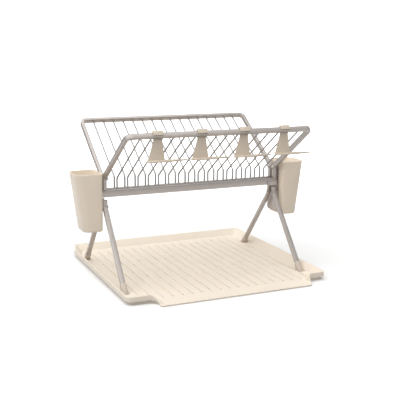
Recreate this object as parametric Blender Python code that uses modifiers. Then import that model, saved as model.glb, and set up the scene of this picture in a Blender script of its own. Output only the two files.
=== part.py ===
"""Folding dish rack that stands on a drip tray.

Two wire baskets lean out of a pair of hinge plates, four legs hang from the same
plates, a cutlery cup hooks over each plate and four glass holders clip on the
front rail. Metres, +Z up, origin on the table under the middle of the rack,
-Y towards the front.
"""
import math

import bpy
import bmesh
from mathutils import Matrix, Vector

# Fits and cuts
clearance = 0.0003
overrun = 0.003
sink = 0.0004
weld_distance = 0.00001

# Wires
wire_count = 16
wire_pitch = 0.023
wire_radius = 0.00175
wire_offset = 0.009
wire_upright = 0.0237
wire_slope_length = 0.1744
wire_bend = 0.009
slope_angle = math.radians(34.84)

# Basket frames
tube_width = 0.0075
tube_depth = 0.0105
tube_round = 0.001
tube_lift = 0.002
arm_gap = 0.0275
knee_bend = 0.008
corner_bend = 0.011
knee_pin_drop = 0.0025368

# Bottom rails
rail_height = 0.0149
rail_depth = 0.008
rail_overhang = 0.0057
rail_edge = 0.0012
block_length = 0.024
block_step = 0.0054
block_drop = 0.0015
block_depth = 0.0108

# Hinge plates
plate_gap = 0.00365
plate_thickness = 0.0016
plate_front_reach = 0.0155
plate_rear_reach = 0.032
plate_fall = 0.0436
plate_rise = 0.0055
plate_corner = 0.006

# Pins
pin_radius = 0.0022
pin_shoulder_radius = 0.004
pin_head_radius = 0.0046
pin_head_height = 0.004
stud_radius = 0.0018
stud_head_radius = 0.0031
stud_head_height = 0.0015

# Legs
leg_width = 0.010
leg_thickness = 0.007
leg_offset = 0.0102
leg_pin_height = 0.1516
leg_pin_drop = 0.0204
leg_angle = math.atan(0.82)
leg_stub = 0.0144
shoe_width = 0.013
shoe_thickness = 0.011
shoe_length = 0.022
shoe_floor = 0.0018
shoe_round = 0.002

# Drip tray
tray_side_margin = 0.020
tray_back = 0.213
tray_front = 0.204
tray_floor = 0.0028
tray_rim_height = 0.018
tray_skirt_bottom = 0.007
tray_lip = 0.0025
tray_slope_run = 0.0115
tray_wall = 0.002
tray_base_inset = 0.008
tray_corner = 0.012
tray_cut_side = 0.013
tray_cut_back = 0.050
apron_depth = 0.028
apron_left_inset = 0.058
apron_right_inset = 0.050
apron_corner = 0.006
apron_border_share = 0.4
apron_edge_top = 0.0034
apron_edge_bottom = 0.0012
apron_edge_hollow = 0.0016
apron_root_height = 0.0008
wing_sweep = 0.014
wing_bow = 0.001
groove_pitch = 0.0206
groove_side_margin = 0.0206
groove_shift = 0.005
groove_width = 0.0018
groove_depth = 0.0009
groove_front_margin = 0.051
groove_back_margin = 0.037
groove_gap = 0.010
groove_break_shares = ((0.485, 0.717), (0.40, 0.64))
pocket_depth = 0.0016
pocket_margin = 0.001
pocket_toe_margin = 0.003
pocket_inner_margin = 0.004

# Cutlery cups
cup_rim_depth = 0.0572
cup_base_depth = 0.0412
cup_rim_half_width = 0.033
cup_base_half_width = 0.030
cup_rise = 0.009
cup_depth = 0.121
cup_rim_corner = 0.018
cup_base_corner = 0.015
cup_inner_corner = 0.008
cup_wall = 0.0022
cup_floor = 0.003
cup_lip = 0.001
cup_lip_height = 0.003
hook_width = 0.008
hook_inset = 0.010
hook_thickness = 0.0015
hook_bridge = 0.002
hook_drop = 0.010

# Glass holders
holder_slots = (-6, -2, 2, 6)
hook_plate = 0.0022
saddle_width = 0.021
saddle_lip_share = 0.72
neck_side_gap = 0.00075
holder_plate_thickness = 0.0028
holder_drop = 0.0470
holder_plate_left = 0.0195
holder_plate_right = 0.0145
holder_plate_gap = 0.00115
holder_lap = 0.005
shelf_thickness = 0.0025
shelf_depth = 0.022
shelf_length = 0.077
shelf_tip = 0.002
shelf_nose = 0.006

# Colours and surface values, as colour, roughness and metallic
metal_finish = ((0.52, 0.48, 0.46, 1.0), 0.38, 0.85)
wire_finish = ((0.50, 0.47, 0.45, 1.0), 0.35, 0.85)
cream_finish = ((0.86, 0.79, 0.69, 1.0), 0.55, 0.0)

# Counts of steps on rounded shapes
corner_steps = 4
bend_steps = 4
round_sides = 16
wire_resolution = 2
edge_segments = 2
tube_corner_steps = 2
dome_angles = [math.radians(degrees) for degrees in (90, 60, 30, 0)]
sharp_angle = math.radians(35)

# Sizes worked out from the ones above
arm_reach = (wire_count - 1) / 2 * wire_pitch + arm_gap
rail_reach = arm_reach + rail_overhang
slope_out = math.cos(slope_angle)
slope_up = math.sin(slope_angle)
rail_bottom = leg_pin_height + leg_pin_drop
rail_top = rail_bottom + rail_height
block_top = rail_top - block_step
block_bottom = rail_bottom - block_drop
wire_knee_height = rail_top + wire_upright
tube_half = tube_width / 2
tube_half_depth = tube_depth / 2
tube_knee_height = wire_knee_height + tube_lift / slope_out
knee_pin_height = tube_knee_height - knee_pin_drop
tube_slope_length = wire_slope_length + tube_half
top_rail_offset = wire_offset + tube_slope_length * slope_out - tube_lift * slope_up
top_rail_height = wire_knee_height + tube_slope_length * slope_up + tube_lift * slope_out
plate_inner = arm_reach + tube_half + plate_gap
plate_outer = plate_inner + plate_thickness
plate_bottom = leg_pin_height - plate_fall
plate_top = knee_pin_height + plate_rise
cup_inner = plate_outer + clearance
cup_rim_reach = cup_inner + cup_rim_depth
cup_base_reach = cup_inner + cup_base_depth
cup_top = plate_top + cup_rise
cup_bottom = cup_top - cup_depth
hook_places = (0, plate_rear_reach - hook_inset)
neck_width = wire_pitch - 2 * (wire_radius + neck_side_gap)
holder_plate_start = wire_pitch / 2 - wire_radius - holder_plate_gap
holder_plate_bottom = top_rail_height - holder_drop
shoe_bottom = tray_floor - pocket_depth + clearance
foot_drop = leg_pin_height - shoe_bottom
tray_half_width = arm_reach + tray_side_margin
tray_foot_inset = tray_lip + tray_slope_run
apron_front = tray_front + apron_depth
wing_front = tray_front + wing_bow
apron_left = tray_half_width - apron_left_inset
apron_right = tray_half_width - apron_right_inset
groove_reach = tray_half_width - tray_foot_inset - groove_side_margin
groove_count = round(2 * groove_reach / groove_pitch) + 1
groove_front = apron_front - groove_front_margin
groove_back = tray_back - groove_back_margin
groove_length = groove_front + groove_back


def make_collection(name):
    collection = bpy.data.collections.new(name)
    bpy.context.scene.collection.children.link(collection)
    return collection


def make_material(name, finish):
    colour, roughness, metallic = finish
    material = bpy.data.materials.new(name)
    material.use_nodes = True
    shader = material.node_tree.nodes["Principled BSDF"]
    shader.inputs["Base Color"].default_value = colour
    shader.inputs["Roughness"].default_value = roughness
    shader.inputs["Metallic"].default_value = metallic
    material.diffuse_color = colour
    return material


def add_object(name, data, collection, finish=None, location=(0, 0, 0)):
    """Link an object that holds the data, with a material of its own."""
    piece = bpy.data.objects.new(name, data)
    collection.objects.link(piece)
    piece.location = location
    if finish is not None:
        data.materials.clear()
        data.materials.append(make_material(name, finish))
    if collection is cutters:
        piece.hide_render = True
        piece.display_type = "WIRE"
    return piece


def mesh_from(name, shape):
    bmesh.ops.recalc_face_normals(shape, faces=shape.faces)
    mesh = bpy.data.meshes.new(name)
    shape.to_mesh(mesh)
    shape.free()
    return mesh


def boxes_mesh(name, corners):
    """Boxes in one mesh, each between two corners."""
    shape = bmesh.new()
    for low, high in corners:
        low = Vector(low)
        high = Vector(high)
        size = Matrix.Diagonal((high - low).to_4d())
        bmesh.ops.create_cube(shape, size=1, matrix=Matrix.Translation((low + high) / 2) @ size)
    return mesh_from(name, shape)


def box_mesh(name, low, high):
    return boxes_mesh(name, [(low, high)])


def rod_mesh(name, radius, start, end):
    """A round bar along X from start to end, for holes."""
    shape = bmesh.new()
    turn = Matrix.Rotation(math.pi / 2, 4, "Y")
    place = Matrix.Translation(((start + end) / 2, 0, 0))
    bmesh.ops.create_cone(shape, cap_ends=True, segments=round_sides, radius1=radius,
                          radius2=radius, depth=abs(end - start), matrix=place @ turn)
    return mesh_from(name, shape)


def arc(centre, radius, start, end, steps):
    """Points on a circle from one angle to another."""
    points = []
    for step in range(steps + 1):
        angle = start + (end - start) * step / steps
        points.append((centre[0] + radius * math.cos(angle), centre[1] + radius * math.sin(angle)))
    return points


def rounded_outline(low, high, radii, steps):
    """A rectangle with four rounded corners, from the far right corner anticlockwise."""
    far_right, far_left, near_left, near_right = radii
    points = arc((high[0] - far_right, high[1] - far_right), far_right, 0, math.pi / 2, steps)
    points += arc((low[0] + far_left, high[1] - far_left), far_left, math.pi / 2, math.pi, steps)
    points += arc((low[0] + near_left, low[1] + near_left), near_left, math.pi, 1.5 * math.pi, steps)
    points += arc((high[0] - near_right, low[1] + near_right), near_right,
                  1.5 * math.pi, 2 * math.pi, steps)
    return points


def bend(before, corner, after, radius):
    """Points of a rounded corner in a path."""
    before, corner, after = Vector(before), Vector(corner), Vector(after)
    inward = (before - corner).normalized()
    outward = (after - corner).normalized()
    half = inward.angle(outward) / 2
    centre = corner + (inward + outward).normalized() * radius / math.sin(half)
    first = (corner + inward * radius / math.tan(half) - centre).normalized()
    last = (corner + outward * radius / math.tan(half) - centre).normalized()
    steps = range(bend_steps + 1)
    return [centre + first.slerp(last, step / bend_steps) * radius for step in steps]


def path_curve(name, points, resolution=0, radius=0, profile=None):
    """A tube or wire along a path of straight stretches."""
    curve = bpy.data.curves.new(name, "CURVE")
    curve.dimensions = "3D"
    spline = curve.splines.new("POLY")
    spline.points.add(len(points) - 1)
    for point, place in zip(spline.points, points):
        point.co = Vector(place).to_4d()
    curve.use_fill_caps = True
    if profile is None:
        curve.bevel_depth = radius
        curve.bevel_resolution = resolution
    else:
        curve.bevel_mode = "OBJECT"
        curve.bevel_object = profile
    return curve


def outline_curve(name, points, thickness):
    """A flat outline in the XY plane, thickened to both sides."""
    curve = bpy.data.curves.new(name, "CURVE")
    curve.dimensions = "2D"
    curve.fill_mode = "BOTH"
    curve.extrude = thickness / 2
    spline = curve.splines.new("POLY")
    spline.points.add(len(points) - 1)
    for point, place in zip(spline.points, points):
        point.co = (place[0], place[1], 0, 1)
    spline.use_cyclic_u = True
    return curve


def to_mesh(piece):
    """Replace a curve object by the same shape as a closed mesh."""
    bpy.context.view_layer.update()
    depsgraph = bpy.context.evaluated_depsgraph_get()
    mesh = bpy.data.meshes.new_from_object(piece.evaluated_get(depsgraph))
    shape = bmesh.new()
    shape.from_mesh(mesh)
    bmesh.ops.remove_doubles(shape, verts=shape.verts, dist=weld_distance)
    bmesh.ops.recalc_face_normals(shape, faces=shape.faces)
    shape.to_mesh(mesh)
    shape.free()
    name = piece.name
    collection = piece.users_collection[0]
    place = piece.matrix_world.copy()
    bpy.data.objects.remove(piece)
    solid = add_object(name, mesh, collection)
    solid.matrix_world = place
    return solid


# Local X and Y of an outline that stands upright along Y and Z, or along X and Z
side_turn = (math.pi / 2, 0, math.pi / 2)
front_turn = (math.pi / 2, 0, 0)


def flat_piece(name, points, thickness, collection, finish=None, location=(0, 0, 0), turn=(0, 0, 0)):
    piece = add_object(name, outline_curve(name, points, thickness), collection, finish, location)
    piece.rotation_euler = turn
    return to_mesh(piece)


def combine(piece, other, operation):
    modifier = piece.modifiers.new(other.name, "BOOLEAN")
    modifier.operation = operation
    modifier.object = other
    modifier.solver = "EXACT"


def cut(piece, other):
    combine(piece, other, "DIFFERENCE")


def join(piece, other):
    combine(piece, other, "UNION")


def shade(piece):
    piece.data.shade_smooth()
    piece.data.set_sharp_from_angle(angle=sharp_angle)


def ring_body(name, rings, closed):
    """A body lofted through rings of as many points; closed rings meet end to end."""
    shape = bmesh.new()
    loops = [[shape.verts.new(point) for point in ring] for ring in rings]
    count = len(loops[0])
    pairs = list(zip(loops, loops[1:]))
    if closed:
        pairs.append((loops[-1], loops[0]))
    for lower, upper in pairs:
        for index in range(count):
            after = (index + 1) % count
            shape.faces.new((lower[index], lower[after], upper[after], upper[index]))
    if not closed:
        shape.faces.new(loops[0])
        shape.faces.new(loops[-1])
    return mesh_from(name, shape)


def turned_piece(name, profile, location, direction, finish):
    """A pin turned about X; its profile is reach along X and radius, from the head out."""
    shape = bmesh.new()
    points = [shape.verts.new((radius, 0, reach)) for reach, radius in reversed(profile)]
    for first, second in zip(points, points[1:]):
        shape.edges.new((first, second))
    mesh = bpy.data.meshes.new(name)
    shape.to_mesh(mesh)
    shape.free()
    piece = add_object(name, mesh, parts, finish, location)
    piece.rotation_euler = (0, direction * math.pi / 2, 0)
    screw = piece.modifiers.new("turn", "SCREW")
    screw.steps = round_sides
    screw.render_steps = round_sides
    screw.use_merge_vertices = True
    screw.merge_threshold = weld_distance
    return piece


def tray_loop(inset, wing_height, apron_height):
    """A loop round the tray; it drops from the front wings to the apron along two sweeps."""
    side = tray_half_width - inset
    back = tray_back - inset
    front = tray_front - inset
    border = inset * apron_border_share
    apron = apron_front - border
    left = apron_left - border
    right = apron_right - border
    radius = tray_corner - inset * tray_corner / (tray_foot_inset + tray_corner)
    toe = apron_corner - border * apron_corner / (tray_foot_inset * apron_border_share + apron_corner)
    arc_run = wing_sweep * math.pi / 2
    run = arc_run + apron_front - wing_front - wing_sweep
    sweep = []
    for step in range(corner_steps + 1):
        turn = step / corner_steps * math.pi / 2
        rise = (1 + math.cos(math.pi * arc_run * step / corner_steps / run)) / 2
        swing = wing_sweep + border + (inset - border) * rise
        sweep.append((wing_sweep - swing * math.sin(turn), swing * math.cos(turn) - wing_sweep, rise))
    points = arc((side - radius, back - radius), radius, 0, math.pi / 2, corner_steps)
    points.append((tray_cut_side - side, back))
    points.append((-side, back - tray_cut_back))
    points += arc((radius - side, radius - front), radius, math.pi, 1.5 * math.pi, corner_steps)
    loop = [(x, y, 1) for x, y in points]
    loop += [(-apron_left - x, y - wing_front, rise) for x, y, rise in sweep]
    points = arc((toe - left, toe - apron), toe, math.pi, 1.5 * math.pi, corner_steps)
    points += arc((right - toe, toe - apron), toe, 1.5 * math.pi, 2 * math.pi, corner_steps)
    loop += [(x, y, 0) for x, y in points]
    loop += [(apron_right + x, y - wing_front, rise) for x, y, rise in reversed(sweep)]
    points = arc((side - radius, radius - front), radius, 1.5 * math.pi, 2 * math.pi, corner_steps)
    loop += [(x, y, 1) for x, y in points]
    return [(x, y, apron_height + (wing_height - apron_height) * rise) for x, y, rise in loop]


def build_tray():
    """Floor with apron, sloped rim with a turned-down lip, grooves and foot pockets."""
    floor_loops = [tray_loop(tray_base_inset, height, height) for height in (0, tray_floor)]
    tray = add_object("drip_tray", ring_body("drip_tray", floor_loops, False), parts, cream_finish)
    inner_wall = tray_base_inset + sink
    levels = (
        (0, tray_skirt_bottom, apron_edge_bottom),
        (0, tray_rim_height, apron_edge_top),
        (tray_lip, tray_rim_height, apron_edge_top),
        (tray_foot_inset, tray_floor - sink, tray_floor - sink),
        (tray_foot_inset, sink, sink),
        (inner_wall, sink, sink),
        (inner_wall, tray_skirt_bottom, apron_root_height),
        (tray_wall, tray_rim_height - tray_floor, apron_edge_hollow),
        (tray_wall, tray_skirt_bottom, apron_edge_bottom),
    )
    rim = add_object("tray_rim", ring_body("tray_rim", [tray_loop(*level) for level in levels], True),
                     cutters)
    join(tray, rim)
    first = groove_shift - (groove_count - 1) / 2 * groove_pitch
    corners = []
    for index in range(groove_count):
        middle = first + index * groove_pitch
        breaks = [share * groove_length - groove_front for share in groove_break_shares[index % 2]]
        starts = [-groove_front] + breaks
        ends = [place - groove_gap for place in breaks] + [groove_back]
        for start, end in zip(starts, ends):
            corners.append(((middle - groove_width / 2, start, tray_floor - groove_depth),
                            (middle + groove_width / 2, end, tray_floor + overrun)))
    cut(tray, add_object("tray_grooves", boxes_mesh("tray_grooves", corners), cutters))
    foot = leg_offset + foot_drop * math.tan(leg_angle)
    sole = shoe_thickness / 2 / math.cos(leg_angle)
    corners = []
    for across in (-1, 1):
        for along in (-1, 1):
            low_x = across * arm_reach - shoe_width / 2 - pocket_margin
            high_x = across * arm_reach + shoe_width / 2 + pocket_margin
            ends = sorted((along * (foot - sole - pocket_inner_margin),
                           along * (foot + sole + pocket_toe_margin)))
            corners.append(((low_x, ends[0], tray_floor - pocket_depth),
                            (high_x, ends[1], tray_rim_height + overrun)))
    cut(tray, add_object("tray_pockets", boxes_mesh("tray_pockets", corners), cutters))


def build_plate(name, across):
    """A sheet plate with holes for the knee pins and riveted studs for the legs."""
    outline = rounded_outline((-plate_front_reach, plate_bottom), (plate_rear_reach, plate_top),
                              (plate_corner,) * 4, corner_steps)
    middle = across * (plate_inner + plate_thickness / 2)
    plate = flat_piece(name, outline, plate_thickness, parts, metal_finish, (middle, 0, 0), side_turn)
    for along in (-1, 1):
        hole = add_object(f"{name}_hole", rod_mesh(
            "hole", pin_radius + clearance, across * (plate_inner - overrun),
            across * (plate_outer + overrun)), cutters,
            location=(0, along * wire_offset, knee_pin_height))
        cut(plate, hole)
    for along in (-1, 1):
        place = (0, along * leg_offset, leg_pin_height)
        inner_face = arm_reach - leg_width / 2
        shoulder = add_object(f"{name}_shoulder", rod_mesh(
            "shoulder", pin_shoulder_radius, across * (arm_reach + leg_width / 2 + clearance),
            across * (plate_inner + sink)), cutters, location=place)
        shank = add_object(f"{name}_shank", rod_mesh(
            "shank", stud_radius, across * (inner_face - clearance - sink),
            across * plate_inner), cutters, location=place)
        head = add_object(f"{name}_head", rod_mesh(
            "head", stud_head_radius, across * (inner_face - clearance - stud_head_height),
            across * (inner_face - clearance)), cutters, location=place)
        join(plate, shoulder)
        join(plate, shank)
        join(plate, head)


def knee_pin(name, across, along):
    """A riveted pin: domed head, shank through the arm, shoulder and tenon in the plate."""
    inner_face = arm_reach - tube_half - clearance
    outer_face = arm_reach + tube_half + clearance
    dome = [(inner_face - pin_head_height * math.sin(angle), pin_head_radius * math.cos(angle))
            for angle in dome_angles]
    profile = dome + [
        (inner_face, pin_radius),
        (outer_face, pin_radius),
        (outer_face, pin_shoulder_radius),
        (plate_inner - clearance, pin_shoulder_radius),
        (plate_inner - clearance, pin_radius),
        (plate_outer - clearance, pin_radius),
        (plate_outer - clearance, 0),
    ]
    profile = [(reach, radius if radius > weld_distance else 0) for reach, radius in profile]
    return turned_piece(name, profile, (0, along * wire_offset, knee_pin_height), across, metal_finish)


def build_basket(name, along):
    """One half of the rack: bent frame, bottom rail and the wires between them."""
    pivot = Vector((0, along * wire_offset, knee_pin_height))
    foot = (0, rail_top + clearance)
    knee = (0, tube_knee_height)
    top = (along * (top_rail_offset - wire_offset), top_rail_height)

    def place(across, point):
        return Vector((across * arm_reach, point[0], point[1] - knee_pin_height))

    path = [place(-1, foot)]
    path += bend(place(-1, foot), place(-1, knee), place(-1, top), knee_bend)
    path += bend(place(-1, knee), place(-1, top), place(1, top), corner_bend)
    path += bend(place(-1, top), place(1, top), place(1, knee), corner_bend)
    path += bend(place(1, top), place(1, knee), place(1, foot), knee_bend)
    path.append(place(1, foot))
    frame = to_mesh(add_object(f"{name}_frame", path_curve(f"{name}_frame", path, profile=tube_profile),
                               parts, metal_finish, pivot))
    for across in (-1, 1):
        hole = add_object(f"{name}_knee_hole", rod_mesh(
            "knee_hole", pin_radius + clearance, across * (arm_reach - tube_half - overrun),
            across * (arm_reach + tube_half + overrun)), cutters, location=pivot)
        cut(frame, hole)
    shade(frame)

    rail_low = Vector((-rail_reach, -rail_depth / 2, rail_bottom - knee_pin_height))
    rail_high = Vector((rail_reach, rail_depth / 2, rail_top - knee_pin_height))
    rail = add_object(f"{name}_bottom_rail", box_mesh("bottom_rail", rail_low, rail_high), parts,
                      metal_finish, pivot)
    rounding = rail.modifiers.new("edges", "BEVEL")
    rounding.width = rail_edge
    rounding.segments = edge_segments
    rounding.limit_method = "ANGLE"
    ends = sorted((along * (block_length - rail_reach), along * (sink - rail_reach)))
    sides = sorted((along * (sink - rail_depth / 2), along * (block_depth - rail_depth / 2)))
    block = add_object(f"{name}_block", box_mesh(
        "block", (ends[0], sides[0], block_bottom - knee_pin_height),
        (ends[1], sides[1], block_top - knee_pin_height)), cutters, location=pivot)
    softening = block.modifiers.new("edges", "BEVEL")
    softening.width = rail_edge
    softening.segments = edge_segments
    join(rail, block)

    bottom = (0, 0, rail_top + clearance - knee_pin_height)
    bent = (0, 0, wire_knee_height - knee_pin_height)
    run = wire_slope_length - clearance
    end = (0, along * run * slope_out, wire_knee_height - knee_pin_height + run * slope_up)
    wire_path = [bottom] + bend(bottom, bent, end, wire_bend) + [end]
    for index in range(wire_count):
        wire_name = f"{name}_wire_{index + 1:02d}"
        across = (index - (wire_count - 1) / 2) * wire_pitch
        add_object(wire_name, path_curve(wire_name, wire_path, wire_resolution, wire_radius), parts,
                   wire_finish, pivot + Vector((across, 0, 0)))


def strip_outline(points, width):
    """Both sides of a bent flat bar, with mitred bends."""
    sides = ([], [])
    for index, point in enumerate(points):
        here = Vector(point)
        before = (here - Vector(points[index - 1])).normalized() if index else None
        after = (Vector(points[index + 1]) - here).normalized() if index + 1 < len(points) else None
        way = ((before or after) + (after or before)).normalized()
        square = Vector((-way.y, way.x))
        mitre = (after or before).dot(way)
        sides[0].append(here + square * width / 2 / mitre)
        sides[1].append(here - square * width / 2 / mitre)
    return sides[0] + sides[1][::-1]


def build_leg(name, across, along):
    """A flat bar with a short upright end above its pin, and the shoe on its foot."""
    pivot = Vector((across * arm_reach, along * leg_offset, leg_pin_height))
    lean = Vector((along * math.sin(leg_angle), -math.cos(leg_angle)))
    square = Vector((along * math.cos(leg_angle), math.sin(leg_angle)))
    toe = leg_thickness / 2 * math.sin(leg_angle) + shoe_floor + clearance
    leg_end = lean * (foot_drop - toe) / math.cos(leg_angle)
    outline = strip_outline([(0, leg_stub), (0, 0), leg_end], leg_thickness)
    leg = flat_piece(f"{name}_leg", outline, leg_width, parts, metal_finish, pivot, side_turn)
    hole = add_object(f"{name}_leg_hole", rod_mesh(
        "leg_hole", stud_radius + clearance, -leg_width / 2 - overrun, leg_width / 2 + overrun),
        cutters, location=pivot)
    cut(leg, hole)

    half = shoe_thickness / 2
    collar = foot_drop / math.cos(leg_angle) - shoe_length
    sole = []
    for side in (-1, 1):
        reach = (foot_drop + side * half * math.sin(leg_angle)) / math.cos(leg_angle)
        sole.append(lean * reach + square * side * half)
    shoe_points = [lean * collar - square * half, sole[0], sole[1], lean * collar + square * half]
    shoe = flat_piece(f"{name}_shoe", shoe_points, shoe_width, parts, cream_finish, pivot, side_turn)
    rounding = shoe.modifiers.new("edges", "BEVEL")
    rounding.width = shoe_round
    rounding.segments = edge_segments
    rounding.limit_method = "ANGLE"
    start = lean * (collar - overrun)
    socket = strip_outline([start, leg_end + lean * clearance], leg_thickness + 2 * clearance)
    cut(shoe, flat_piece(f"{name}_socket", socket, leg_width + 2 * clearance, cutters, None, pivot,
                         side_turn))


def cup_ring(level, inset, height):
    """A level of the cup between its base, 0, and its rim, 1."""
    reach = cup_base_reach + (cup_rim_reach - cup_base_reach) * level
    half_width = cup_base_half_width + (cup_rim_half_width - cup_base_half_width) * level
    corner = cup_base_corner + (cup_rim_corner - cup_base_corner) * level - inset
    inner_corner = cup_inner_corner - inset
    points = rounded_outline((cup_inner + inset, inset - half_width),
                             (reach - inset, half_width - inset),
                             (corner, inner_corner, inner_corner, corner), corner_steps)
    return [(x, y, height) for x, y in points]


def build_cup(name, across):
    """A tapered open cup with two hooks over the top of the hinge plate."""
    lip_level = 1 - cup_lip_height / cup_depth
    floor_level = cup_floor / cup_depth
    rings = [
        cup_ring(0, cup_lip, cup_bottom),
        cup_ring(cup_lip / cup_depth, 0, cup_bottom + cup_lip),
        cup_ring(lip_level, 0, cup_top - cup_lip_height),
        cup_ring(1, 0, cup_top),
        cup_ring(1, cup_wall, cup_top),
        cup_ring(floor_level, cup_wall, cup_bottom + cup_floor),
    ]
    if across < 0:
        rings = [[(-x, y, z) for x, y, z in ring] for ring in rings]
    cup = add_object(name, ring_body(name, rings, False), parts, cream_finish)
    for middle in hook_places:
        bottom = plate_top + clearance
        lip_inner = plate_inner - clearance - hook_thickness
        profile = [
            (lip_inner, plate_top - hook_drop),
            (plate_inner - clearance, plate_top - hook_drop),
            (plate_inner - clearance, bottom),
            (cup_inner + cup_wall / 2, bottom),
            (cup_inner + cup_wall / 2, bottom + hook_bridge),
            (lip_inner, bottom + hook_bridge),
        ]
        points = [(across * reach, height) for reach, height in profile]
        hook = flat_piece(f"{name}_hook", points, hook_width, cutters, None, (0, middle, 0), front_turn)
        join(cup, hook)
    shade(cup)


def build_holder(name, slot):
    """Hook over the front rail, neck between two wires, flared plate and pointed shelf."""
    middle = slot * wire_pitch
    pivot = Vector((middle, -wire_offset, knee_pin_height))
    rail = Vector((wire_offset - top_rail_offset, top_rail_height - knee_pin_height))
    out = Vector((-slope_out, slope_up))
    up = Vector((slope_up, slope_out))

    def at(outward, upward):
        return rail + out * outward + up * upward

    inside = tube_half + clearance
    outside = inside + hook_plate
    under = tube_half_depth + clearance
    over = under + hook_plate
    lip_end = under - tube_depth * saddle_lip_share
    saddle_points = [at(outside, lip_end), at(outside, over), at(-tube_half, over),
                     at(-tube_half, under), at(inside, under), at(inside, lip_end)]
    holder = flat_piece(name, saddle_points, saddle_width, parts, cream_finish, pivot, side_turn)

    neck_top = at(-inside, -tube_half_depth)
    neck_side = at(-outside, -tube_half_depth)
    neck_y = (neck_top.x + neck_side.x) / 2
    plate_bottom_z = holder_plate_bottom - knee_pin_height
    neck_end = neck_top.y - holder_lap - hook_plate
    half = hook_plate / 2
    neck_points = [at(-outside, over - sink), at(hook_plate - inside, over - sink),
                   at(hook_plate - inside, under + sink), at(-inside, under + sink),
                   neck_top, Vector((neck_y - half, neck_top.y - hook_plate)),
                   Vector((neck_y - half, neck_end)), Vector((neck_y + half, neck_end)),
                   Vector((neck_y + half, neck_side.y)), neck_side]
    join(holder, flat_piece(f"{name}_neck", neck_points, neck_width, cutters, None, pivot, side_turn))

    plate_top_z = neck_end + holder_lap
    plate_points = [(-holder_plate_start, plate_top_z), (-holder_plate_left, plate_bottom_z),
                    (holder_plate_right, plate_bottom_z), (holder_plate_start, plate_top_z)]
    plate_place = pivot + Vector((0, neck_y, 0))
    join(holder, flat_piece(f"{name}_plate", plate_points, holder_plate_thickness, cutters, None,
                            plate_place, front_turn))

    back = holder_plate_thickness / 2 + sink
    nose = back - shelf_depth
    tip = shelf_length - holder_plate_left
    shelf_points = [(-holder_plate_left - sink, back), (-holder_plate_left - sink, nose + shelf_nose),
                    (shelf_nose - holder_plate_left, nose), (holder_plate_right, nose),
                    (tip, nose / 2 - shelf_tip / 2), (tip, nose / 2 + shelf_tip / 2),
                    (holder_plate_right, back)]
    shelf_place = plate_place + Vector((0, 0, plate_bottom_z + sink - shelf_thickness / 2))
    join(holder, flat_piece(f"{name}_shelf", shelf_points, shelf_thickness, cutters, None, shelf_place))


for old in list(bpy.data.objects):
    bpy.data.objects.remove(old)

parts = make_collection("dish_rack")
cutters = make_collection("cutters")

tube_profile = bpy.data.curves.new("tube_profile", "CURVE")
tube_profile.dimensions = "2D"
section = rounded_outline((-tube_half, -tube_half_depth), (tube_half, tube_half_depth), (tube_round,) * 4,
                          tube_corner_steps)
tube_spline = tube_profile.splines.new("POLY")
tube_spline.points.add(len(section) - 1)
for control, position in zip(tube_spline.points, section):
    control.co = (position[0], position[1], 0, 1)
tube_spline.use_cyclic_u = True
tube_profile = add_object("tube_profile", tube_profile, cutters)

build_tray()
for side_name, across_sign in (("left", -1), ("right", 1)):
    build_plate(f"{side_name}_hinge_plate", across_sign)
    build_cup(f"{side_name}_cutlery_cup", across_sign)
    for end_name, along_sign in (("front", -1), ("rear", 1)):
        knee_pin(f"{end_name}_{side_name}_knee_pin", across_sign, along_sign)
        build_leg(f"{end_name}_{side_name}", across_sign, along_sign)
for end_name, along_sign in (("front", -1), ("rear", 1)):
    build_basket(f"{end_name}_basket", along_sign)
for number, slot in enumerate(holder_slots):
    build_holder(f"glass_holder_{number + 1}", slot)
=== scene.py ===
# %% [markdown]
# # A folding dish rack on its drip tray
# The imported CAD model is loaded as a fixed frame. Each cell below dresses one kind of
# piece: the swept steel, the round wire, the pins, the plastic mouldings and the tray.
# Everything is in metres, +Z up, with the front of the rack towards -Y.

# %% Load the frame and keep its size
import math
import bpy
import bmesh
from mathutils import Matrix, Vector


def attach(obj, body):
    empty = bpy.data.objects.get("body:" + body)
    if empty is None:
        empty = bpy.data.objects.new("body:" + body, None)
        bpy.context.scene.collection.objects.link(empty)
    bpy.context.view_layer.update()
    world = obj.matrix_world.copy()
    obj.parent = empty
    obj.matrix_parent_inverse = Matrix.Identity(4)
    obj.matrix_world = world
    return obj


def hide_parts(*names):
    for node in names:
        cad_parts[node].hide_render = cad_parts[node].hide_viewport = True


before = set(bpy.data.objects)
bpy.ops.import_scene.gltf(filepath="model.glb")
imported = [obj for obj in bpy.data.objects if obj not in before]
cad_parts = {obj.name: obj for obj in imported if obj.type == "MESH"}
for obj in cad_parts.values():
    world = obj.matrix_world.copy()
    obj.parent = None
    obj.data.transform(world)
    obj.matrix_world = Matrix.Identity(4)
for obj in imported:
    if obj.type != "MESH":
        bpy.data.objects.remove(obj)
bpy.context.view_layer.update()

# %% [markdown]
# ## Sizes that several pieces share
# The steel is a rectangular tube, 7.5 mm wide and 10.5 mm deep, and the wire is 3.5 mm
# thick. Both baskets turn about pins at the knee, so each is drawn around its own knee.

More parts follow.
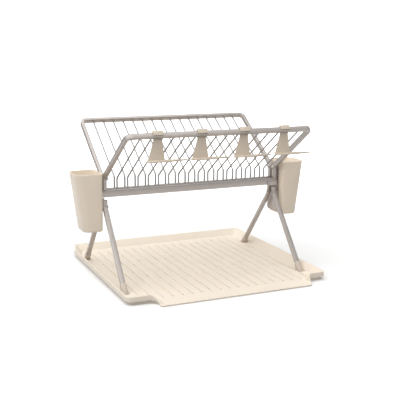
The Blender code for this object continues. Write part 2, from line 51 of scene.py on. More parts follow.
# %% Shared sizes
MM = 0.001
GAP = 0.0003
SLOPE = math.radians(34.84)
OUT, UP = math.cos(SLOPE), math.sin(SLOPE)
ARM = 0.200
KNEE = Vector((0, 0.009, 0.2105))
TUBE_WIDTH, TUBE_DEPTH, TUBE_LIFT = 0.0075, 0.0105, 0.002
WIRE = 0.00175
PITCH = 0.023
RAIL_LOW, RAIL_TOP, RAIL_REACH = 0.1720, 0.1869, 0.2057
WIRE_KNEE = 0.2106
WIRE_RUN = 0.1744
TUBE_KNEE = WIRE_KNEE + TUBE_LIFT / OUT
TOP_RAIL = Vector((0, KNEE.y + (WIRE_RUN + TUBE_WIDTH / 2) * OUT - TUBE_LIFT * UP,
                   WIRE_KNEE + (WIRE_RUN + TUBE_WIDTH / 2) * UP + TUBE_LIFT * OUT))
PLATE_INNER, PLATE_OUTER, PLATE_TOP = 0.2074, 0.209, 0.216
print("top rail at", [round(v / MM, 1) for v in TOP_RAIL])

# %% [markdown]
# ## Colour and node helpers
# Colours are written as sRGB hex values, the way a paint card gives them, and Blender
# works in linear light, so one function converts them. A second one adds a shader node
# with its settings and links in one line, which keeps each material short to read.

# %% Colour and node helpers


def linear(code):
    """An sRGB hex colour as linear RGBA."""
    values = [int(code[i:i + 2], 16) / 255 for i in (0, 2, 4)]
    return [v / 12.92 if v <= 0.04045 else ((v + 0.055) / 1.055) ** 2.4 for v in values] + [1.0]


def add_node(tree, kind, links=None, **settings):
    """A node with its settings; links maps an input to a value or another node's output."""
    node = tree.nodes.new(kind)
    for key, value in settings.items():
        setattr(node, key, value)
    for key, value in (links or {}).items():
        if isinstance(value, bpy.types.NodeSocket):
            tree.links.new(value, node.inputs[key])
        else:
            node.inputs[key].default_value = value
    return node


def new_material(name, **values):
    """A Principled material whose plain values sit on the shader's own sockets."""
    material = bpy.data.materials.new(name)
    material.use_nodes = True
    shader = material.node_tree.nodes["Principled BSDF"]
    for key, value in values.items():
        shader.inputs[key.replace("_", " ")].default_value = value
    return material, material.node_tree, shader


print("cream is", [round(v, 3) for v in linear("F3E6D3")])

# %% [markdown]
# ## Powder-coated steel
# Tubes, rails, legs and hinge plates are steel with a warm grey powder coat that holds a
# little metal flake. Such a coat melts into a skin with a faint orange peel, about 1.5 mm
# from bump to bump, and a satin gloss. It is a dielectric skin over flakes, so it is made
# half metallic, with a rougher base and a thin clear coat on top.

# %% Powder-coated steel


def powder_coat(name, dark, light, metallic, roughness, bump):
    material, tree, shader = new_material(name, Metallic=metallic, Coat_Weight=0.25,
                                          Coat_Roughness=0.22)
    place = add_node(tree, "ShaderNodeTexCoord").outputs["Object"]
    cloud = add_node(tree, "ShaderNodeTexNoise", {"Vector": place, "Scale": 22.0, "Detail": 2.0})
    flake = add_node(tree, "ShaderNodeTexNoise", {"Vector": place, "Scale": 1400.0, "Detail": 1.0})
    tone = add_node(tree, "ShaderNodeMix", {0: 0.35, 2: cloud.outputs[0], 3: flake.outputs[0]})
    shade = add_node(tree, "ShaderNodeMix", {0: tone.outputs[0], 6: linear(dark), 7: linear(light)},
                     data_type="RGBA")
    tree.links.new(shade.outputs[2], shader.inputs["Base Color"])
    rough = add_node(tree, "ShaderNodeMapRange", {
        "Value": cloud.outputs[0], "To Min": roughness - 0.05, "To Max": roughness + 0.05})
    tree.links.new(rough.outputs[0], shader.inputs["Roughness"])
    peel = add_node(tree, "ShaderNodeTexNoise", {"Vector": place, "Scale": 650.0, "Detail": 1.0})
    relief = add_node(tree, "ShaderNodeBump", {"Height": peel.outputs[0], "Strength": bump,
                                               "Distance": 0.0001})
    tree.links.new(relief.outputs[0], shader.inputs["Normal"])
    return material


steel = powder_coat("powder_coated_steel", "A9A29D", "C2BAB5", 0.45, 0.36, 0.25)
wire_steel = powder_coat("powder_coated_wire", "939290", "A9A7A5", 0.5, 0.34, 0.2)
print("made", steel.name, "and", wire_steel.name)

# %% [markdown]
# ## Moulded plastic
# The tray is moulded polypropylene with a fine spark-eroded texture that makes it matt
# and lets water creep off it. Cups, shoes and glass holders come from a smoother mould in
# one cream. The holders and shoes are made a little darker, as painted shade. The real grain
# is about 0.4 mm. It is too fine to show, so it is drawn as bump at 0.8 to 0.9 mm. Light goes
# a millimetre or so into such plastic, so it gets a little subsurface light.

# %% Moulded plastic


def moulded(name, dark, light, roughness, grain, bump):
    material, tree, shader = new_material(name, IOR=1.49, Subsurface_Weight=0.12,
                                          Subsurface_Scale=0.002)
    shader.inputs["Subsurface Radius"].default_value = (1.0, 0.8, 0.6)
    place = add_node(tree, "ShaderNodeTexCoord").outputs["Object"]
    cloud = add_node(tree, "ShaderNodeTexNoise", {"Vector": place, "Scale": 9.0, "Detail": 3.0})
    colours = {0: cloud.outputs[0], 6: linear(dark), 7: linear(light)}
    shade = add_node(tree, "ShaderNodeMix", colours, data_type="RGBA")
    tree.links.new(shade.outputs[2], shader.inputs["Base Color"])
    rough = add_node(tree, "ShaderNodeMapRange", {
        "Value": cloud.outputs[0], "To Min": roughness - 0.04, "To Max": roughness + 0.04})
    tree.links.new(rough.outputs[0], shader.inputs["Roughness"])
    skin = add_node(tree, "ShaderNodeTexNoise", {"Vector": place, "Scale": 1 / grain, "Detail": 2.0})
    relief = add_node(tree, "ShaderNodeBump", {"Height": skin.outputs[0], "Strength": bump,
                                               "Distance": 0.0001})
    tree.links.new(relief.outputs[0], shader.inputs["Normal"])
    return material


tray_plastic = moulded("moulded_polypropylene", "ECE0CF", "F2E7D8", 0.55, 0.0008, 0.35)
cup_plastic = moulded("moulded_cream_plastic", "EDDFCC", "F3E6D5", 0.42, 0.0009, 0.15)
# painted shade: the holders are the cups' cream plastic, made darker
painted_shade_holder_plastic = moulded("moulded_painted_shade_holder_plastic", "D0C2B0", "D8CBBA", 0.42, 0.0009, 0.15)
# painted shade: the shoes are the cups' cream plastic, made darker
painted_shade_shoe_plastic = moulded("moulded_painted_shade_shoe_plastic", "C5B9AD", "CDC2B6", 0.42, 0.0009, 0.15)
print("made", ", ".join(m.name for m in (tray_plastic, cup_plastic, painted_shade_holder_plastic, painted_shade_shoe_plastic)))

# %% [markdown]
# ## Finishing a piece
# Each mesh is closed, its doubles merged and its faces turned outwards before it becomes
# an object. The object stays at the origin with its place in its mesh, rides on the body
# that carries it, and stands for the CAD node that it dresses.


def finish(shape, name, body, nodes, material, angle=32):
    """Turn a bmesh into a riding piece that replaces its CAD nodes."""
    bmesh.ops.remove_doubles(shape, verts=shape.verts, dist=0.000002)
    bmesh.ops.recalc_face_normals(shape, faces=shape.faces)
    mesh = bpy.data.meshes.new(name)
    shape.to_mesh(mesh)
    shape.free()
    mesh.shade_smooth()
    mesh.set_sharp_from_angle(angle=math.radians(angle))
    mesh.materials.append(material)
    piece = bpy.data.objects.new(name, mesh)
    bpy.context.scene.collection.objects.link(piece)
    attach(piece, body)
    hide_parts(*nodes)
    return piece


def count(piece):
    """Triangles in a finished piece."""
    return sum(len(face.vertices) - 2 for face in piece.data.polygons)


print("finish() is ready")

# %% [markdown]
# ## Sweeping a bar
# A bent tube is drawn the way a bender makes it: a flat section is pushed along straight
# runs and swung round each bend. Extrude makes the runs and spin makes the bends, so the
# wall keeps its width through every corner.

# %% Sweeping a bar


def section(shape, width, depth, radius, steps, place):
    """A rectangle with rounded corners, as one face, placed by a matrix."""
    made_grid = bmesh.ops.create_grid(shape, x_segments=1, y_segments=1, size=0.5,
                                      matrix=Matrix.Diagonal((width, depth, 1, 1)))
    corners = made_grid["verts"]
    if radius:
        bmesh.ops.bevel(shape, geom=corners, offset=radius, offset_type="OFFSET", segments=steps,
                        profile=0.5, affect="VERTICES", material=-1)
    face = max(shape.faces, key=lambda f: f.index)
    bmesh.ops.transform(shape, matrix=place, verts=face.verts)
    return face


def push(shape, face, way, size=1.0):
    """Extrude the end face along a vector, and scale it about its middle."""
    result = bmesh.ops.extrude_face_region(shape, geom=[face])
    end = [g for g in result["geom"] if isinstance(g, bmesh.types.BMFace)][0]
    bmesh.ops.translate(shape, verts=end.verts, vec=way)
    if size != 1.0:
        middle = end.calc_center_median()
        bmesh.ops.scale(shape, verts=end.verts, vec=(size,) * 3, space=Matrix.Translation(-middle))
    return end


def swing(shape, face, centre, axis, angle, steps):
    """Spin the end face round a bend."""
    result = bmesh.ops.spin(shape, geom=[face], cent=centre, axis=axis, dvec=(0, 0, 0), angle=angle,
                            steps=steps, use_merge=False, use_normal_flip=False, use_duplicate=False)
    return [g for g in result["geom_last"] if isinstance(g, bmesh.types.BMFace)][0]


def sweep(shape, face, corners, bend, steps):
    """Take a section along a path of straight runs with rounded corners."""
    points = [Vector(p) for p in corners]
    here = points[0]
    for index in range(1, len(points) - 1):
        before = (points[index] - here).normalized()
        after = (points[index + 1] - points[index]).normalized()
        turn = before.angle(after)
        back = bend * math.tan(turn / 2)
        stop = points[index] - before * back
        face = push(shape, face, stop - here)
        axis = before.cross(after).normalized()
        centre = stop + axis.cross(before) * bend
        face = swing(shape, face, centre, axis, turn, steps)
        here = points[index] + after * back
    return push(shape, face, points[-1] - here)


print("sweep() is ready")

# %% [markdown]
# ## Basket frames
# Each basket hangs in one tube, bent in four places: up from the rail, out at the knee,
# along the top and down again. The tube is drawn with crisp edges of one millimetre, so
# its flat faces catch the light as bands and its edges as thin lines.

# %% Basket frames
for end, along in (("front", -1), ("rear", 1)):
    shape = bmesh.new()
    half = [(ARM, KNEE.y, RAIL_TOP + GAP), (ARM, KNEE.y, TUBE_KNEE), (ARM, TOP_RAIL.y, TOP_RAIL.z)]
    path = [Vector((-x, along * y, z)) for x, y, z in half]
    path += [Vector((x, along * y, z)) for x, y, z in reversed(half)]
    start = section(shape, TUBE_WIDTH, TUBE_DEPTH, 0.001, 3, Matrix.Translation(path[0]))
    sweep(shape, start, path, 0.0105, 8)
    piece = finish(shape, f"{end}_basket_tube", f"{end}_basket", [f"{end}_basket_frame"], steel)
    print(piece.name, count(piece), "triangles")

# %% [markdown]
# ## Basket wires
# The wires stand on the bottom rail, bend at the knee and end under the top rail. A real
# wire is butt-welded at both ends, and the weld leaves a small collar of coated metal, so
# the section starts wide, narrows within a millimetre and widens again at the top.

# %% Basket wires
for end, along in (("front", -1), ("rear", 1)):
    for index in range(16):
        x = (index - 7.5) * PITCH
        shape = bmesh.new()
        foot = Vector((x, along * 0.009, RAIL_TOP))
        bend_at = Vector((x, along * 0.009, WIRE_KNEE))
        way = Vector((0, along * OUT, UP))
        tip = bend_at + way * WIRE_RUN
        ring = bmesh.ops.create_circle(shape, cap_ends=True, segments=14, radius=WIRE * 1.5,
                                       matrix=Matrix.Translation(foot))
        face = ring["verts"][0].link_faces[0]
        face = push(shape, face, Vector((0, 0, 0.0006)), 0.8)
        face = push(shape, face, Vector((0, 0, 0.0008)), 1 / 1.2)
        start = foot + Vector((0, 0, 0.0014))
        face = sweep(shape, face, [start, bend_at, tip - way * 0.0014], 0.009, 7)
        face = push(shape, face, way * 0.0008, 1.2)
        push(shape, face, way * 0.0006, 1.25)
        number = f"{index + 1:02d}"
        piece = finish(shape, f"{end}_wire_{number}", f"{end}_basket",
                       [f"{end}_basket_wire_{number}"], wire_steel)
    print(end, "wires:", count(piece), "triangles each")

# %% [markdown]
# ## Bottom rails
# A flat bar joins the feet of the wires. One end carries a thicker block outside, where
# the real one has a small plate; here the block stays bare. All long edges are rounded
# by a millimetre, as a coated bar's edges are.

# %% Bottom rails


def rounded_box(shape, low, high, radius, steps):
    """A box between two corners with rounded edges."""
    low, high = Vector(low), Vector(high)
    place = Matrix.Translation((low + high) / 2) @ Matrix.Diagonal((high - low).to_4d())
    cube = bmesh.ops.create_cube(shape, size=1, matrix=place)
    edges = list({edge for vert in cube["verts"] for edge in vert.link_edges})
    bmesh.ops.bevel(shape, geom=edges, offset=radius, offset_type="OFFSET", segments=steps,
                    profile=0.5, affect="EDGES", material=-1)


for end, along in (("front", -1), ("rear", 1)):
    shape = bmesh.new()
    rounded_box(shape, (-RAIL_REACH, along * KNEE.y - 0.004, RAIL_LOW),
                (RAIL_REACH, along * KNEE.y + 0.004, RAIL_TOP), 0.0012, 3)
    xs = sorted((along * (0.024 - RAIL_REACH), along * (0.0004 - RAIL_REACH)))
    ys = sorted((along * (KNEE.y - 0.0036), along * (KNEE.y + 0.0068)))
    low_z, high_z = RAIL_LOW - 0.0015, RAIL_TOP - 0.0054
    rounded_box(shape, (xs[0], ys[0], low_z), (xs[1], ys[1], high_z), 0.0012, 3)
    piece = finish(shape, f"{end}_bottom_rail", f"{end}_basket",
                   [f"{end}_basket_bottom_rail"], steel)
    print(piece.name, count(piece), "triangles")

# %% [markdown]
# ## Knee pins
# A rivet holds each arm to its hinge plate. Its domed head shows inside the arm, as a
# round button. It is a turned part, so its half profile is spun about the pin's axis.

# %% Knee pins
near, far = ARM - TUBE_WIDTH / 2 - GAP, ARM + TUBE_WIDTH / 2 + GAP
dome = [(near - 0.004 * math.sin(math.radians(a)), 0.0046 * math.cos(math.radians(a)))
        for a in range(90, -1, -15)]
profile = dome + [(near, 0.0022), (far, 0.0022), (far, 0.004), (PLATE_INNER - GAP, 0.004),
                  (PLATE_INNER - GAP, 0.0022), (PLATE_OUTER - GAP, 0.0022), (PLATE_OUTER - GAP, 0)]
for end, along in (("front", -1), ("rear", 1)):
    for side_name, side in (("left", -1), ("right", 1)):
        shape = bmesh.new()
        place = Vector((0, along * KNEE.y, KNEE.z))
        points = [shape.verts.new(place + Vector((side * x, 0, r if r > 0.00001 else 0)))
                  for x, r in profile]
        edges = [shape.edges.new(pair) for pair in zip(points, points[1:])]
        bmesh.ops.spin(shape, geom=points + edges, cent=place, axis=(1, 0, 0), dvec=(0, 0, 0),
                       angle=2 * math.pi, steps=24, use_merge=True, use_normal_flip=False,
                       use_duplicate=False)
        piece = finish(shape, f"{end}_{side_name}_pin", "hinge_plates",
                       [f"{end}_{side_name}_knee_pin"], steel)
print("pins:", count(piece), "triangles each")

# %% [markdown]
# ## Legs and shoes
# A leg is a flat bar with a short upright end above its stud. It is swept like the tubes
# with a thinner section. The foot sits in a moulded shoe: a rounded block that leans with
# the leg and is cut level where it stands on the tray. The real shoe is a socket, but its
# hollow is filled by the leg and never shows, so here the block is solid.

# %% Legs and shoes
LEG_ANGLE = math.atan(0.82)
STUD = Vector((ARM, 0.0102, 0.1516))
LEG_WIDTH, LEG_THICK, LEG_ROUND, LEG_BEND, LEG_STUB = 0.010, 0.007, 0.0012, 0.005, 0.0144
SHOE_WIDTH, SHOE_THICK, SHOE_BLOCK, SHOE_EDGE, SHOE_PAST = 0.0065, 0.0055, 0.032, 0.0042, 0.010
SOLE, SOLE_EDGE, TOE = 0.0015, 0.0012, 0.0021
drop = STUD.z - SOLE
for end, along in (("front", -1), ("rear", 1)):
    for side_name, side in (("left", -1), ("right", 1)):
        pivot = Vector((side * STUD.x, along * STUD.y, STUD.z))
        lean = Vector((0, along * math.sin(LEG_ANGLE), -math.cos(LEG_ANGLE)))
        length = (drop - LEG_THICK / 2 * math.sin(LEG_ANGLE) - TOE) / math.cos(LEG_ANGLE)
        foot = pivot + lean * length
        shape = bmesh.new()
        tilt = (-lean).to_track_quat("Z", "X").to_matrix().to_4x4()
        across = tilt.inverted() @ Vector((1, 0, 0))
        sides = (LEG_WIDTH, LEG_THICK) if abs(across.x) > 0.5 else (LEG_THICK, LEG_WIDTH)
        start = section(shape, *sides, LEG_ROUND, 3, Matrix.Translation(foot) @ tilt)
        sweep(shape, start, [foot, pivot, pivot + Vector((0, 0, LEG_STUB))], LEG_BEND, 5)
        body = f"{end}_{side_name}_leg_with_shoe"
        finish(shape, f"{end}_{side_name}_leg_bar", body, [f"{end}_{side_name}_leg"], steel)

        shape = bmesh.new()
        reach = drop / math.cos(LEG_ANGLE)
        rounded_box(shape, (-SHOE_WIDTH, -SHOE_THICK, 0), (SHOE_WIDTH, SHOE_THICK, SHOE_BLOCK),
                    SHOE_EDGE, 5)
        heel = pivot + lean * (reach + SHOE_PAST)
        side_way = Vector((1, 0, 0))
        turn = Matrix((side_way, (-lean).cross(side_way), -lean)).transposed().to_4x4()
        bmesh.ops.transform(shape, matrix=Matrix.Translation(heel) @ turn, verts=shape.verts)
        cut = bmesh.ops.bisect_plane(shape, geom=shape.verts[:] + shape.edges[:] + shape.faces[:],
                                     plane_co=(0, 0, SOLE), plane_no=(0, 0, 1), clear_inner=True)
        rim = [g for g in cut["geom_cut"] if isinstance(g, bmesh.types.BMEdge)]
        bmesh.ops.contextual_create(shape, geom=rim)
        bmesh.ops.bevel(shape, geom=[e for e in rim if e.is_valid], offset=SOLE_EDGE,
                        offset_type="OFFSET", segments=3, profile=0.5, affect="EDGES",
                        clamp_overlap=True, material=-1)
        piece = finish(shape, f"{end}_{side_name}_moulded_shoe", body, [f"{end}_{side_name}_shoe"],
                       painted_shade_shoe_plastic)
print("shoes:", count(piece), "triangles each")

# %% [markdown]
# ## Cutlery cups
# A cup is a thin tapered moulding, flat on the side that hangs on the hinge plate and
# rounded on the other three corners. Its wall is drawn as one skin: up the outside, over
# a small bead at the rim and down the inside, by extruding one loop of edges again and
# again and setting each new loop to its own level.

# %% Cutlery cups
CUP_TOP, CUP_BOTTOM, CUP_RISE = 0.225, 0.104, 0.121
CUP_INNER, HOOK_HALF, HOOK_PLACES = 0.2093, 0.004, (0, 0.022)


def cup_loop(level, inset, height, steps=7):
    """Points of one level of the cup: 0 is its base and 1 its rim."""
    reach = 0.2505 + 0.016 * level - inset
    half = 0.030 + 0.003 * level - inset
    outer = max(0.015 + 0.003 * level - inset, 0.002)
    inner = max(0.008 - inset, 0.002)
    wall = CUP_INNER + inset
    points = []
    corners = ((reach - outer, half - outer, outer, 0), (wall + inner, half - inner, inner, 90),
               (wall + inner, inner - half, inner, 180), (reach - outer, outer - half, outer, 270))
    for x, y, r, start in corners:
        for step in range(steps + 1):
            angle = math.radians(start + 90 * step / steps)
            points.append(Vector((x + r * math.cos(angle), y + r * math.sin(angle), height)))
    return points


def skin(shape, rings):
    """Extrude a closed ring of edges from each ring of points to the next, and cap both ends."""
    points = [shape.verts.new(p) for p in rings[0]]
    loop = [shape.edges.new(pair) for pair in zip(points, points[1:] + points[:1])]
    shape.faces.new(points)
    for ring in rings[1:]:
        grown = bmesh.ops.extrude_edge_only(shape, edges=loop)["geom"]
        fresh = {g for g in grown if isinstance(g, bmesh.types.BMVert)}
        loop = [g for g in grown if isinstance(g, bmesh.types.BMEdge) and fresh.issuperset(g.verts)]
        order = {vert: index for index, vert in enumerate(points)}
        points = sorted(fresh, key=lambda vert: next(
            order[e.other_vert(vert)] for e in vert.link_edges if e.other_vert(vert) in order))
        for vert, place in zip(points, ring):
            vert.co = place
    shape.faces.new(points)


levels = [(0.0, 0.0035, CUP_BOTTOM), (0.003, 0.0012, CUP_BOTTOM + 0.0006),
          (0.012, 0.0002, CUP_BOTTOM + 0.002), (0.03, 0.0, CUP_BOTTOM + 0.0036)]
levels += [(t, 0.0, CUP_BOTTOM + CUP_RISE * t) for t in (0.25, 0.5, 0.75, 0.97)]
levels += [(0.99, 0.0, CUP_TOP - 0.0012), (1.0, 0.0004, CUP_TOP - 0.0003), (1.0, 0.0011, CUP_TOP),
           (1.0, 0.0018, CUP_TOP - 0.0003), (0.99, 0.0022, CUP_TOP - 0.0012)]
levels += [(t, 0.0022, CUP_BOTTOM + CUP_RISE * t) for t in (0.75, 0.5, 0.25)]
levels += [(0.05, 0.0024, CUP_BOTTOM + 0.006), (0.028, 0.0040, CUP_BOTTOM + 0.0036),
           (0.025, 0.0060, CUP_BOTTOM + 0.003)]
for side_name, side in (("left", -1), ("right", 1)):
    shape = bmesh.new()
    skin(shape, [cup_loop(*level) for level in levels])
    for y in HOOK_PLACES:
        lip, top = PLATE_INNER - GAP - 0.0015, PLATE_TOP + GAP + 0.002
        near_y, far_y = y - HOOK_HALF, y + HOOK_HALF
        rounded_box(shape, (lip, near_y, PLATE_TOP + GAP), (CUP_INNER + 0.0011, far_y, top), 0.0004, 2)
        rounded_box(shape, (lip, near_y, PLATE_TOP - 0.010), (PLATE_INNER - GAP, far_y, top), 0.0004, 2)
    bmesh.ops.scale(shape, vec=(side, 1, 1), verts=shape.verts)
    piece = finish(shape, f"{side_name}_cup", f"{side_name}_cup", [f"{side_name}_cutlery_cup"],
                   cup_plastic)
    print(piece.name, count(piece), "triangles")

# %% [markdown]
# ## Pieces whose CAD shape only needs softer edges
# The hinge plates and the glass holders have the right shape already. A copy of each is
# merged from loose triangles, its flat triangles are joined into whole faces, and its
# sharp edges get the small radius that a mould or a press leaves. The shelf of a holder
# ends in a point at its left, so that one corner is drawn out before the edges are rounded.

# %% Softened copies


def softened(node, name, body, material, radius, steps=2, tip=0):
    """A merged copy of a CAD node with rounded sharp edges; tip draws its left front corner out."""
    shape = bmesh.new()
    shape.from_mesh(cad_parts[node].data)
    bmesh.ops.remove_doubles(shape, verts=shape.verts, dist=0.00001)
    bmesh.ops.dissolve_limit(shape, angle_limit=math.radians(1), verts=shape.verts,
                             edges=shape.edges, delimit=set())
    left = min(vert.co.x for vert in shape.verts)
    ends = [vert for vert in shape.verts if vert.co.x < left + GAP]
    front = min(vert.co.y for vert in ends)
    corner = [vert for vert in ends if vert.co.y < front + GAP]
    bmesh.ops.translate(shape, verts=corner, vec=(-tip, 0, 0))
    sharp = [e for e in shape.edges if e.is_manifold and e.calc_face_angle(0) > math.radians(35)]
    bmesh.ops.bevel(shape, geom=sharp, offset=radius, offset_type="OFFSET", segments=steps,
                    profile=0.5, affect="EDGES", clamp_overlap=True, material=-1)
    return finish(shape, name, body, [node], material)


for side_name in ("left", "right"):
    piece = softened(f"{side_name}_hinge_plate", f"{side_name}_pressed_plate", "hinge_plates",
                     steel, 0.0003)
    print(piece.name, count(piece), "triangles")
SHELF_TIP = 0.009
for number in range(1, 5):
    piece = softened(f"glass_holder_{number}", f"moulded_holder_{number}", "front_basket",
                     painted_shade_holder_plastic, 0.0004, tip=SHELF_TIP)
print("holders:", count(piece), "triangles each")

# %% [markdown]
# ## Drip tray
# The tray is one thin moulding: a flat floor, a sloped rim that ends in a turned-down lip,
# and a low apron where the front opens towards the sink. The rim sinks to the apron's
# level along a quarter curve at the left, and at the right along a tighter one with a
# leaning side below it. The wall is one skin again, grown ring by ring from the underside,
# out under the rim, over the lip and down the slope to the floor.

# %% Drip tray
TRAY_SIDE, TRAY_BACK, TRAY_FRONT, TRAY_FLOOR = 0.220, 0.213, 0.204, 0.0028
WING_FRONT, APRON_FRONT, APRON_LEFT, APRON_RIGHT = 0.205, 0.232, 0.162, 0.170
FOOT_INSET, BORDER_SHARE, WING_SWEEP, APRON_CORNER = 0.014, 0.4, 0.014, 0.006
CORNER, CUT_SIDE, CUT_BACK = 0.012, 0.013, 0.050
APRON_SLANT, RIGHT_SWEEP_SHARE = 0.007, 0.35
RIM, SKIRT = 0.018, 0.007


def arc(centre, radius, start, steps=8):
    """A quarter circle of points, from a start angle in degrees."""
    turns = [math.radians(start + 90 * step / steps) for step in range(steps + 1)]
    return [(centre[0] + radius * math.cos(a), centre[1] + radius * math.sin(a)) for a in turns]


def tray_ring(inset, wing_height, apron_height, steps=10):
    """A ring round the tray, at one height on the rim and another on the apron."""
    side, back, front = TRAY_SIDE - inset, TRAY_BACK - inset, TRAY_FRONT - inset
    border = inset * BORDER_SHARE
    apron, left, right = APRON_FRONT - border, APRON_LEFT - border, APRON_RIGHT - border
    radius = CORNER - inset * CORNER / (FOOT_INSET + CORNER)
    toe = APRON_CORNER - border * APRON_CORNER / (FOOT_INSET * BORDER_SHARE + APRON_CORNER)
    bend_run = WING_SWEEP * math.pi / 2
    run = bend_run + APRON_FRONT - WING_FRONT - WING_SWEEP
    curve = []
    for step in range(steps + 1):
        turn = step / steps * math.pi / 2
        rise = (1 + math.cos(math.pi * bend_run * step / steps / run)) / 2
        swing_out = WING_SWEEP + border + (inset - border) * rise
        curve.append((WING_SWEEP - swing_out * math.sin(turn),
                      swing_out * math.cos(turn) - WING_SWEEP, rise))
    rim = arc((side - radius, back - radius), radius, 0)
    rim += [(CUT_SIDE - side, back), (-side, back - CUT_BACK)]
    rim += arc((radius - side, radius - front), radius, 180)
    ring = [(x, y, 1) for x, y in rim]
    ring += [(-APRON_LEFT - x, y - WING_FRONT, rise) for x, y, rise in curve]
    toes = arc((toe - left, toe - apron), toe, 180) + arc((right - toe, toe - apron), toe, 270)
    ring += [(x, y, 0) for x, y in toes]
    ring += [(APRON_RIGHT + x * RIGHT_SWEEP_SHARE, y - WING_FRONT, rise)
             for x, y, rise in reversed(curve)]
    leaning = []
    for x, y, rise in ring:
        share = max(0, min(1, (y + APRON_FRONT) / (APRON_FRONT - WING_FRONT)))
        leaning.append((x + APRON_SLANT * share if x > 0 and y < -front else x, y, rise))
    ring = leaning
    ring += [(x, y, 1) for x, y in arc((side - radius, radius - front), radius, 270)]
    climb = wing_height - apron_height
    return [Vector((x, y, apron_height + climb * rise)) for x, y, rise in ring]


wall_levels = [(0.0092, 0, 0), (0.0084, 0.0004, 0.0002), (0.0082, 0.0012, 0.0005),
               (0.0082, SKIRT, 0.0007), (0.0021, 0.0148, 0.0015), (0.0019, 0.0142, 0.0014),
               (0.0019, SKIRT + 0.0004, 0.0012), (0.0014, SKIRT, 0.0011),
               (0.0005, SKIRT, 0.0011), (0, SKIRT + 0.0005, 0.0013),
               (0, RIM - 0.0012, 0.0026), (0.0003, RIM - 0.0004, 0.0031), (0.0011, RIM, 0.0034),
               (0.0024, RIM, 0.0034), (0.0033, RIM - 0.0006, 0.00335), (0.0132, 0.0038, 0.0030),
               (0.0140, 0.0030, 0.00285), (0.0150, TRAY_FLOOR, TRAY_FLOOR)]
shape = bmesh.new()
skin(shape, [tray_ring(*level) for level in wall_levels])
bmesh.ops.recalc_face_normals(shape, faces=shape.faces)
tray_mesh = bpy.data.meshes.new("tray_blank")
shape.to_mesh(tray_mesh)
print("tray skin:", len(shape.faces), "faces")
shape.free()

# %% [markdown]
# ## Grooves and foot pockets
# Shallow grooves lead the water forward. Each is broken into three dashes, staggered from
# one row to the next, with a small round dimple at its front end. The real grooves are
# about 2 mm wide and 1 mm deep. They are drawn wider and deeper, and the dimples larger, so
# that they show at this picture size. They and the pockets for the feet are pressed into
# the floor, so they are cut out with a Boolean, which leaves clean edges without any
# modelling of the floor around them.

# %% Grooves and foot pockets
GROOVES, GROOVE_PITCH, GROOVE_SHIFT, GROOVE_WIDTH = 19, 0.0206, 0.005, 0.0028
GROOVE_DEPTH, DIMPLE_LOW, DIMPLE_HIGH, DIMPLE_AHEAD = 0.0020, 0.0030, 0.0032, 0.0038
GROOVE_FRONT, GROOVE_BACK, GROOVE_GAP = 0.181, 0.176, 0.010
BREAKS = ((0.485, 0.717), (0.40, 0.64))
shape = bmesh.new()
for index in range(GROOVES):
    x = GROOVE_SHIFT + (index - (GROOVES - 1) / 2) * GROOVE_PITCH
    middles = [share * (GROOVE_FRONT + GROOVE_BACK) - GROOVE_FRONT for share in BREAKS[index % 2]]
    stops = [middle - GROOVE_GAP for middle in middles] + [GROOVE_BACK]
    for start, stop in zip([-GROOVE_FRONT] + middles, stops):
        rounded_box(shape, (x - GROOVE_WIDTH / 2, start + 0.001, TRAY_FLOOR - GROOVE_DEPTH),
                    (x + GROOVE_WIDTH / 2, stop, TRAY_FLOOR + 0.002), 0.0005, 2)
        dimple = Matrix.Translation((x, start - DIMPLE_AHEAD, TRAY_FLOOR + 0.0006))
        bmesh.ops.create_cone(shape, cap_ends=True, segments=12, radius1=DIMPLE_LOW,
                              radius2=DIMPLE_HIGH, depth=0.006, matrix=dimple)
FOOT_Y = STUD.y + drop * math.tan(LEG_ANGLE)
SOLE_HALF, POCKET_HALF = SHOE_THICK * math.hypot(1, math.tan(LEG_ANGLE)), SHOE_WIDTH + 0.001
for side in (-1, 1):
    for along in (-1, 1):
        ys = sorted((along * (FOOT_Y - SOLE_HALF - 0.004), along * (FOOT_Y + SOLE_HALF + 0.003)))
        rounded_box(shape, (side * ARM - POCKET_HALF, ys[0], SOLE - GAP),
                    (side * ARM + POCKET_HALF, ys[1], 0.024), 0.0006, 2)
cutter_mesh = bpy.data.meshes.new("tray_cutter")
shape.to_mesh(cutter_mesh)
shape.free()
blank = bpy.data.objects.new("tray_blank", tray_mesh)
cutter = bpy.data.objects.new("tray_cutter", cutter_mesh)
for block in (blank, cutter):
    bpy.context.scene.collection.objects.link(block)
press = blank.modifiers.new("press", "BOOLEAN")
press.operation, press.solver, press.object = "DIFFERENCE", "EXACT", cutter
press.use_self = True
ready = blank.evaluated_get(bpy.context.evaluated_depsgraph_get())
pressed = bpy.data.meshes.new_from_object(ready)
for block in (blank, cutter):
    bpy.data.objects.remove(block)
shape = bmesh.new()
shape.from_mesh(pressed)
piece = finish(shape, "moulded_tray", "tray", ["drip_tray"], tray_plastic, 30)
print(piece.name, count(piece), "triangles")

# %% [markdown]
# ## Floor, light and camera
# The rack stands on a white table in front of a white backdrop. One very large soft light
# hangs overhead, a little to the left, as a studio's overhead tent does, and the room adds
# an even fill. Table and backdrop send no bounce light to the rack, so upright faces stay
# darker than level ones. Away from the rack the table glows a little, so that it stays
# white out to its edge and meets the backdrop without a line.

# %% Table and backdrop


def staged(name, shape, material):
    """An object that belongs to the studio and not to the rack."""
    mesh = bpy.data.meshes.new(name)
    shape.to_mesh(mesh)
    shape.free()
    mesh.shade_smooth()
    mesh.materials.append(material)
    thing = bpy.data.objects.new(name, mesh)
    bpy.context.scene.collection.objects.link(thing)
    return thing


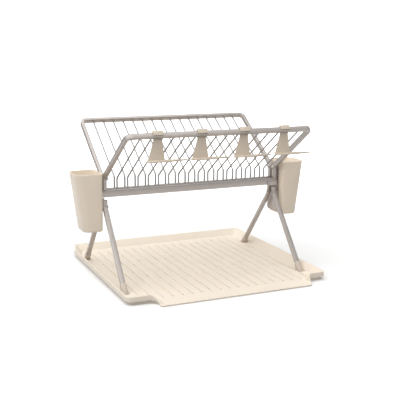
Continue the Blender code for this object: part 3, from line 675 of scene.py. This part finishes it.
paper, tree, shader = new_material("studio_paper", Roughness=0.9)
shader.inputs["Emission Color"].default_value = linear("FFFFFF")
shader.inputs["Base Color"].default_value = linear("F8F8F8")
place = add_node(tree, "ShaderNodeTexCoord").outputs["Object"]
reach = add_node(tree, "ShaderNodeVectorMath", {0: place}, operation="LENGTH")
spill = add_node(tree, "ShaderNodeMapRange", {
    "Value": reach.outputs["Value"], "From Min": 0.35, "From Max": 1.2, "To Min": 0.02, "To Max": 0.5})
tree.links.new(spill.outputs[0], shader.inputs["Emission Strength"])
glow = new_material("lit_backdrop", Roughness=0.9, Emission_Strength=1.2)[0]
glow.node_tree.nodes["Principled BSDF"].inputs["Emission Color"].default_value = linear("FFFFFF")
glow.node_tree.nodes["Principled BSDF"].inputs["Base Color"].default_value = linear("F8F8F8")
shape = bmesh.new()
bmesh.ops.create_circle(shape, cap_ends=True, segments=96, radius=1.3)
table = staged("table", shape, paper)
table.visible_diffuse = False
shape = bmesh.new()
bmesh.ops.create_uvsphere(shape, u_segments=64, v_segments=32, radius=9.0)
bmesh.ops.bisect_plane(shape, geom=shape.verts[:] + shape.edges[:] + shape.faces[:],
                       plane_co=(0, 0, -0.002), plane_no=(0, 0, 1), clear_inner=True)
bmesh.ops.contextual_create(shape, geom=[e for e in shape.edges if e.is_boundary])
bmesh.ops.reverse_faces(shape, faces=shape.faces)
backdrop = staged("backdrop", shape, glow)
backdrop.visible_diffuse = backdrop.visible_glossy = backdrop.visible_transmission = False
backdrop.visible_shadow = False
print("table and backdrop are ready")

# %% Light and camera
bpy.context.scene.view_settings.view_transform = "Standard"
world = bpy.data.worlds.new("studio")
bpy.context.scene.world = world
world.use_nodes = True
world.node_tree.nodes["Background"].inputs["Color"].default_value = (1.0, 1.0, 1.0, 1.0)
world.node_tree.nodes["Background"].inputs["Strength"].default_value = 0.45


def soft_light(name, place, target, size, power):
    """A round area light aimed at a point."""
    lamp = bpy.data.lights.new(name, "AREA")
    lamp.shape = "DISK"
    lamp.size = size
    lamp.energy = power
    holder = bpy.data.objects.new(name, lamp)
    bpy.context.scene.collection.objects.link(holder)
    holder.location = place
    holder.rotation_euler = (Vector(target) - Vector(place)).to_track_quat("-Z", "Y").to_euler()
    holder.visible_camera = False
    return holder


soft_light("overhead", (-0.9, -0.2, 2.6), (0, 0, 0.1), 6.0, 134)
camera_data = bpy.data.cameras.new("camera")
camera_data.sensor_width = 36
camera_data.lens = 784.1 * 36 / 400
camera_data.clip_end = 50
camera = bpy.data.objects.new("camera", camera_data)
bpy.context.scene.collection.objects.link(camera)
camera.location = (-0.6741, -1.5356, 0.4993)
view_turn = (Vector((0.0170, -0.0077, 0.1488)) - camera.location).to_track_quat("-Z", "Y")
roll = Matrix.Rotation(math.radians(0.461), 3, "Z")
camera.rotation_euler = (view_turn.to_matrix() @ roll).to_euler()
bpy.context.scene.camera = camera
print("camera is ready")
